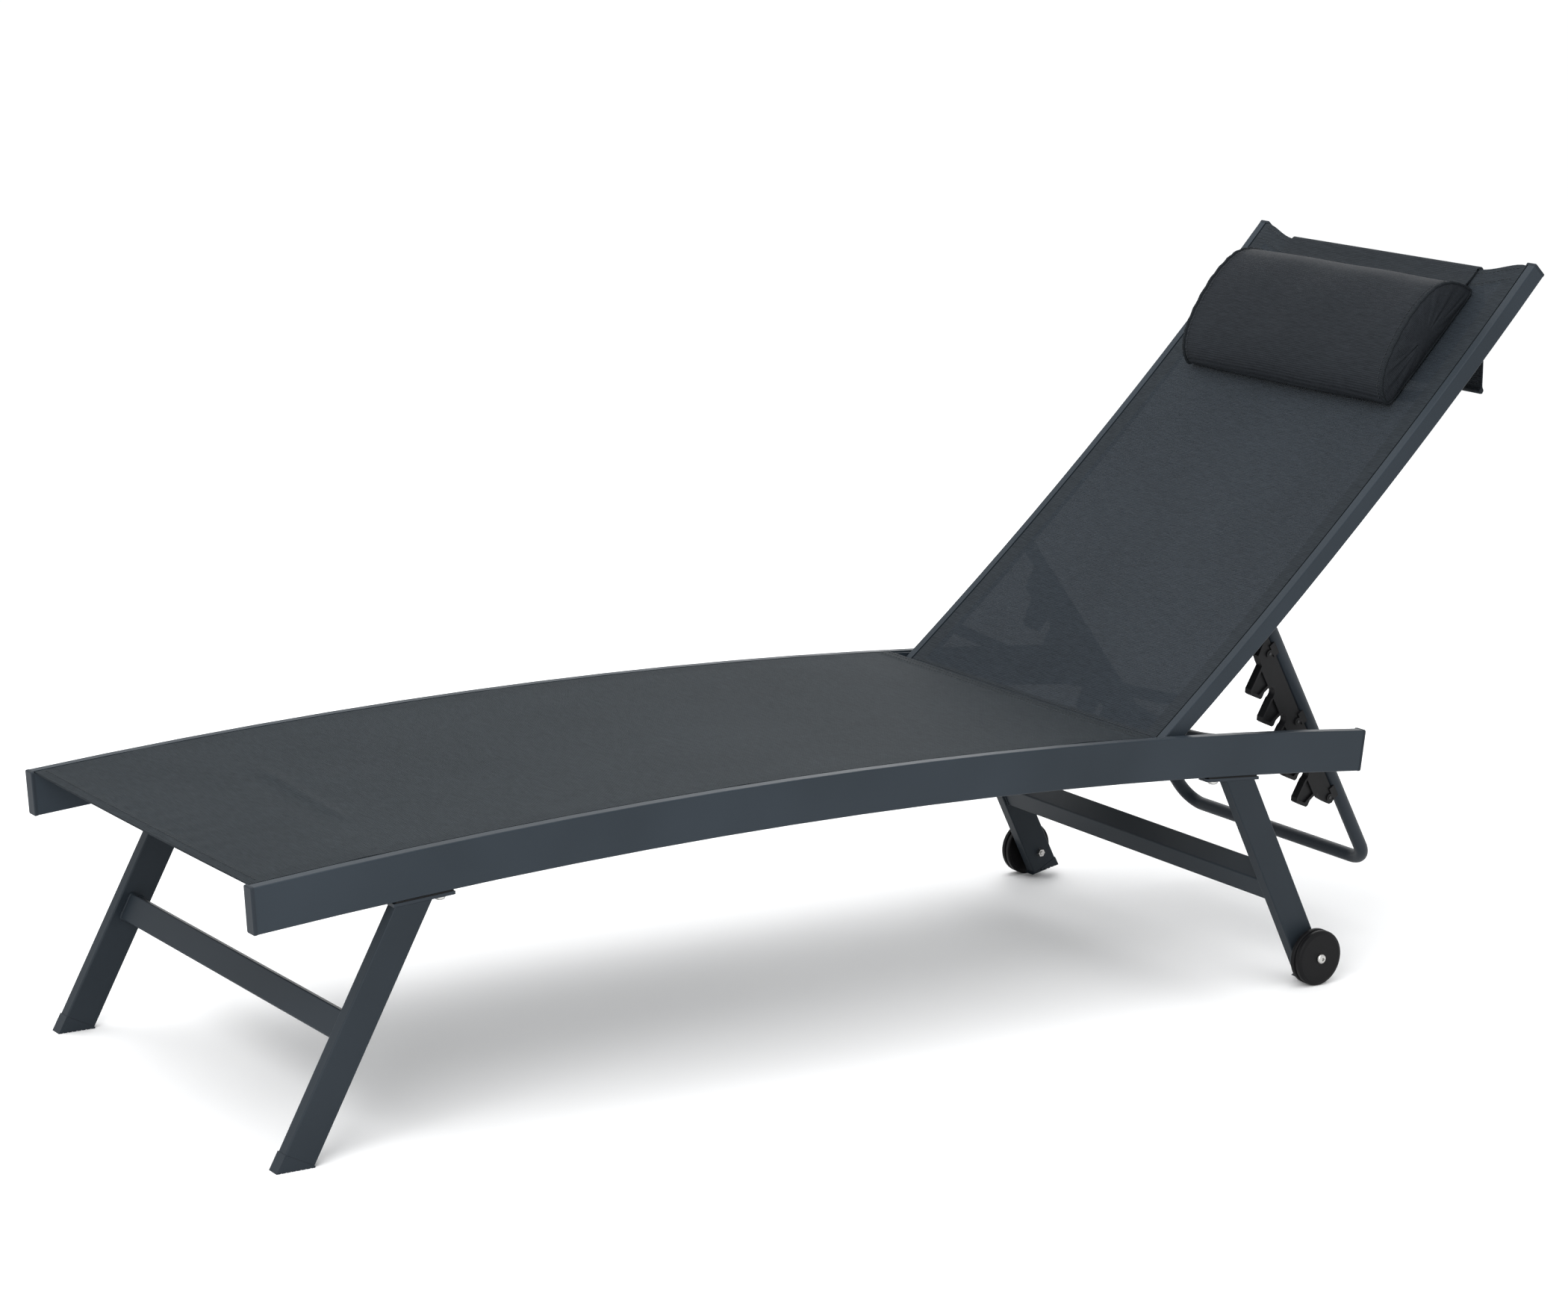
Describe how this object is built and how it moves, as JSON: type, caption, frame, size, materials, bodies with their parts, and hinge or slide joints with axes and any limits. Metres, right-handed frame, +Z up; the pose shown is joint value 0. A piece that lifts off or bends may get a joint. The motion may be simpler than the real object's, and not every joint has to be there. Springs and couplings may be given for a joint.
{
  "type": "sun lounger",
  "caption": "Reclining sun lounger: arched aluminium side rails, woven sling seat, hinged sling backrest on a notched folding support frame, strapped head pillow, slanted legs and wheels.",
  "frame": {"origin": "ground level, at the middle of the overall length and width", "axes": "+X from the foot end to the head end, +Z up, -Y the left side of a person lying on the lounger"},
  "size_m": [1.9626, 0.6606, 0.9545],
  "materials": {
    "rail_paint": "powder-coated slate grey, satin",
    "tube_paint": "powder-coated slate grey, satin",
    "fastener_steel": "zinc plated",
    "cap_plastic": "moulded, fine grain, colour of the rails",
    "hook_plastic": "moulded, fine grain",
    "wheel_plastic": "moulded, satin",
    "bush_plastic": "moulded",
    "pad_rubber": "matt",
    "keder": "extruded welt",
    "sling_fabric": "PVC-coated mesh weave",
    "pillow_fabric": "mesh weave over foam",
    "strap_fabric": "mesh weave, two layers"
  },
  "bodies": {
    "seat_frame": {"side_rail_left": "rail_paint", "side_rail_right": "rail_paint", "seat_keder_rods": "keder", "seat_sling": "sling_fabric", "rail_foot_caps": "cap_plastic", "rail_head_caps": "cap_plastic", "seat_spreader_front": "tube_paint", "seat_spreader_middle": "tube_paint", "seat_spreader_rear": "tube_paint", "hook_bar": "tube_paint", "front_leg_left": "rail_paint", "front_leg_right": "rail_paint", "front_cross_bar": "rail_paint", "front_mount_plates": "tube_paint", "front_mount_pads": "pad_rubber", "front_foot_caps": "cap_plastic", "rear_leg_left": "rail_paint", "rear_leg_right": "rail_paint", "rear_cross_bar": "rail_paint", "rear_mount_plates": "tube_paint", "rear_mount_pads": "pad_rubber", "rear_foot_caps": "cap_plastic", "leg_bolts": "fastener_steel", "wheel_axle_bolts": "fastener_steel", "wheel_axle_nuts": "fastener_steel", "wheel_spacers": "wheel_plastic", "hinge_bolts": "fastener_steel"},
    "backrest": {"backrest_rail_left": "rail_paint", "backrest_rail_right": "rail_paint", "backrest_rail_caps": "cap_plastic", "backrest_keder_rods": "keder", "backrest_sling": "sling_fabric", "backrest_spreader_lower": "tube_paint", "backrest_spreader_upper": "tube_paint", "hinge_bushes": "bush_plastic", "support_pivot_bolts": "fastener_steel"},
    "support": {"support_tube": "tube_paint", "hook_plate_left": "hook_plastic", "hook_plate_right": "hook_plastic", "hook_plate_screws": "fastener_steel", "support_end_plugs": "cap_plastic", "support_pivot_bushes": "bush_plastic"},
    "wheel_l": {"wheel_left": "wheel_plastic"},
    "wheel_r": {"wheel_right": "wheel_plastic"},
    "pillow": {"head_pillow": "pillow_fabric", "pillow_strap": "strap_fabric"},
    "strap_bend": {"strap_turn": "strap_fabric"},
    "flap": {"strap_flap": "strap_fabric", "flap_weight_bar": "strap_fabric"}
  },
  "joints": [
    {"name": "recline", "type": "hinge", "parent": "seat_frame", "child": "backrest", "pos_m": [0.3393, 0, 0.33676], "axis": [0, -1, 0], "range_deg": [0, 24.92]},
    {"name": "support_swing", "type": "hinge", "parent": "backrest", "child": "support", "pos_m": [0.53431, 0, 0.50676], "axis": [0, -1, 0], "range_deg": [0, 24.92]},
    {"name": "wheel_left_spin", "type": "hinge", "parent": "seat_frame", "child": "wheel_l", "pos_m": [0.60838, -0.31, 0.0382], "axis": [0, 1, 0], "continuous": true},
    {"name": "wheel_right_spin", "type": "hinge", "parent": "seat_frame", "child": "wheel_r", "pos_m": [0.60838, 0.31, 0.0382], "axis": [0, 1, 0], "continuous": true},
    {"name": "pillow_slide", "type": "slide", "parent": "backrest", "child": "pillow", "axis": [0.6892, 0, 0.7245], "range_m": [-0.03, 0]},
    {"name": "flap_hang", "type": "hinge", "parent": "backrest", "child": "strap_bend", "pos_m": [0.94931, 0, 0.93412], "axis": [0, -1, 0], "range_deg": [-24.92, 0]},
    {"name": "flap_draw", "type": "slide", "parent": "strap_bend", "child": "flap", "axis": [0, 0, 1], "range_m": [0, 0.03]}
  ],
  "couplings": [
    {"joint": "support_swing", "follows": "recline", "ratio": 1},
    {"joint": "flap_hang", "follows": "recline", "ratio": -1},
    {"joint": "flap_draw", "follows": "pillow_slide", "ratio": -1}
  ]
}
